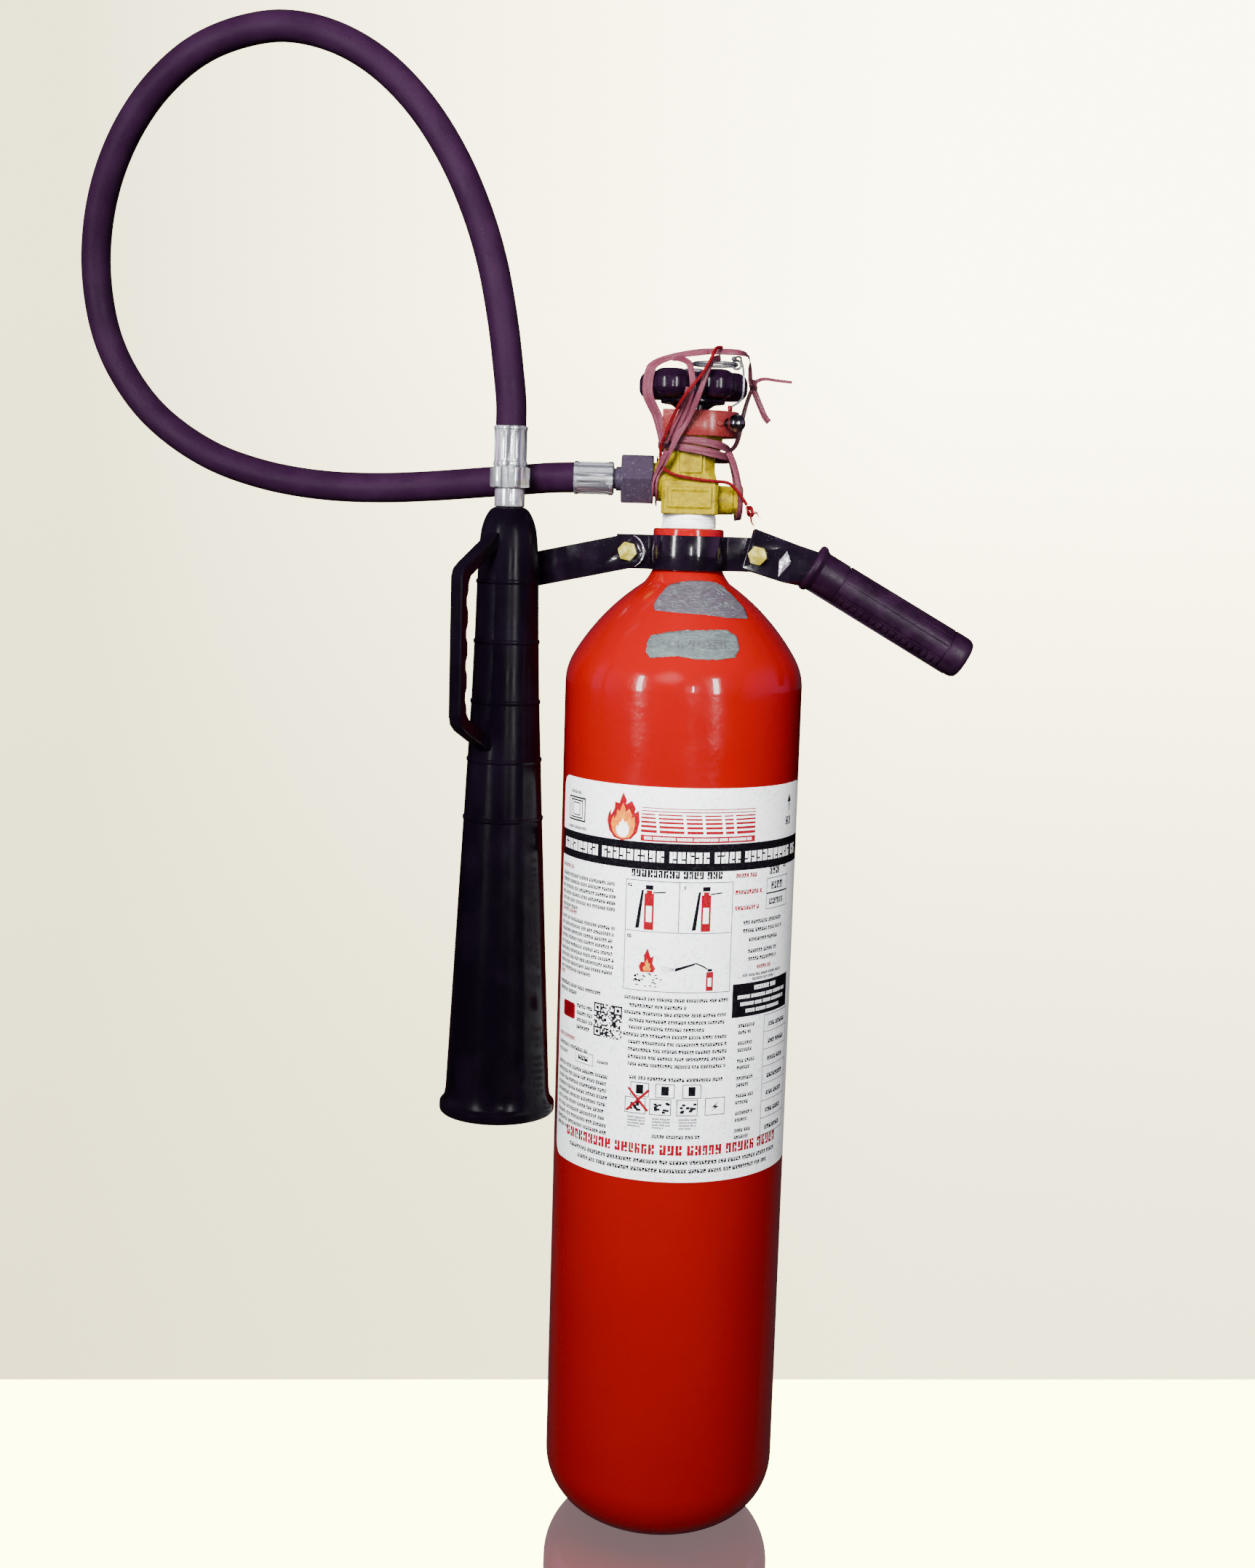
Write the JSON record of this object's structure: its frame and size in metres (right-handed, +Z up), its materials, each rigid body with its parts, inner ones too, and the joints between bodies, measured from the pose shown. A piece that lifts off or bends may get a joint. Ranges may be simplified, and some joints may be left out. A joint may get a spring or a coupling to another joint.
{
  "type": "fire extinguisher",
  "caption": "Tall red steel gas bottle with a brass hand-wheel valve, looped hose, black discharge horn and a sloping carrying handle clamped at the neck.",
  "frame": {"origin": "centre of the standing ring, on the bottle's axis at floor level", "axes": "+Z up along the bottle; -Y is the front, where the label faces; +X is the carrying handle's side and -X the horn's side"},
  "size_m": [0.5447, 0.1409, 0.8919],
  "materials": {
    "red_paint": "gloss, slight orange peel",
    "label_print": "satin printed film",
    "ptfe": "matt white tape",
    "alloy_tube": "drawn",
    "brass": "cast and machined",
    "steel": "turned",
    "bakelite": "moulded gloss",
    "zinc_steel": "bright zinc plate",
    "nut_steel": "dark zinc plate",
    "wire_steel": "drawn wire",
    "clip_red": "satin copper red",
    "copper_disc": "thin foil",
    "hose_rubber": "matt, fine cloth wrap mark",
    "horn_plastic": "moulded gloss",
    "black_paint": "gloss black enamel",
    "yellow_zinc": "yellow passivated zinc",
    "grip_rubber": "matt moulded",
    "tie_ribbon": "shiny woven tape",
    "red_thread": "twisted thread"
  },
  "bodies": {
    "bottle": {"bottle_shell": "red_paint", "neck_ring": "red_paint", "label": "label_print", "thread_tape": "ptfe", "dip_tube": "alloy_tube", "valve_body": "brass", "valve_seat": "ptfe", "gland_packing": "ptfe", "gland_nut": "brass", "burst_disc": "copper_disc", "burst_washer": "brass", "burst_plug": "brass", "union_seal": "ptfe", "union_nut": "nut_steel", "hose_tail": "nut_steel", "ferrule_valve": "zinc_steel", "hose": "hose_rubber", "clamp_front": "black_paint", "clamp_rear": "black_paint", "clamp_bolts": "yellow_zinc", "clamp_washers": "yellow_zinc", "clamp_nuts": "yellow_zinc", "horn_arm": "black_paint", "arm_grommet": "grip_rubber", "handle_tube": "black_paint", "handle_grip": "grip_rubber", "ribbon_left": "tie_ribbon", "ribbon_mid": "tie_ribbon", "ribbon_front": "tie_ribbon", "ribbon_waist": "tie_ribbon", "ribbon_right": "tie_ribbon", "ribbon_tail": "tie_ribbon", "ribbon_plug": "tie_ribbon", "ribbon_knot": "tie_ribbon", "seal_thread": "red_thread", "thread_knot": "red_thread"},
    "wheel": {"hand_wheel": "bakelite", "wheel_insert": "brass", "wheel_washer": "zinc_steel", "wheel_nut": "zinc_steel", "spindle": "steel"},
    "plug": {"valve_plug": "brass"},
    "clip": {"clip_band": "clip_red", "clip_lug": "clip_red", "clip_rivet": "clip_red", "clip_knob": "zinc_steel", "ring_link": "wire_steel"},
    "ring": {"pull_ring": "wire_steel"},
    "horn": {"ferrule_horn": "zinc_steel", "horn_adaptor": "zinc_steel", "horn_collar": "zinc_steel", "diffuser": "brass", "horn": "horn_plastic", "horn_peg": "horn_plastic", "horn_handle": "horn_plastic"}
  },
  "joints": [
    {"name": "wheel_turn", "type": "hinge", "parent": "bottle", "child": "wheel", "pos_m": [0, 0, 0.68], "axis": [0, 0, 1], "range_deg": [0, 540]},
    {"name": "plug_lift", "type": "slide", "parent": "wheel", "child": "plug", "axis": [0, 0, 1], "range_m": [0, 0.0038]},
    {"name": "clip_pull", "type": "slide", "parent": "bottle", "child": "clip", "axis": [1, 0, 0], "range_m": [0, 0.055]},
    {"name": "ring_swing", "type": "hinge", "parent": "clip", "child": "ring", "pos_m": [0.0248, 0, 0.6999], "axis": [0, 1, 0], "range_deg": [0, 80]},
    {"name": "horn_pull", "type": "slide", "parent": "bottle", "child": "horn", "axis": [0, -1, 0], "range_m": [0, 0.08], "deforming": ["hose"]}
  ],
  "couplings": [
    {"joint": "plug_lift", "follows": "wheel_turn", "m_per_rad": 0.00039789}
  ]
}
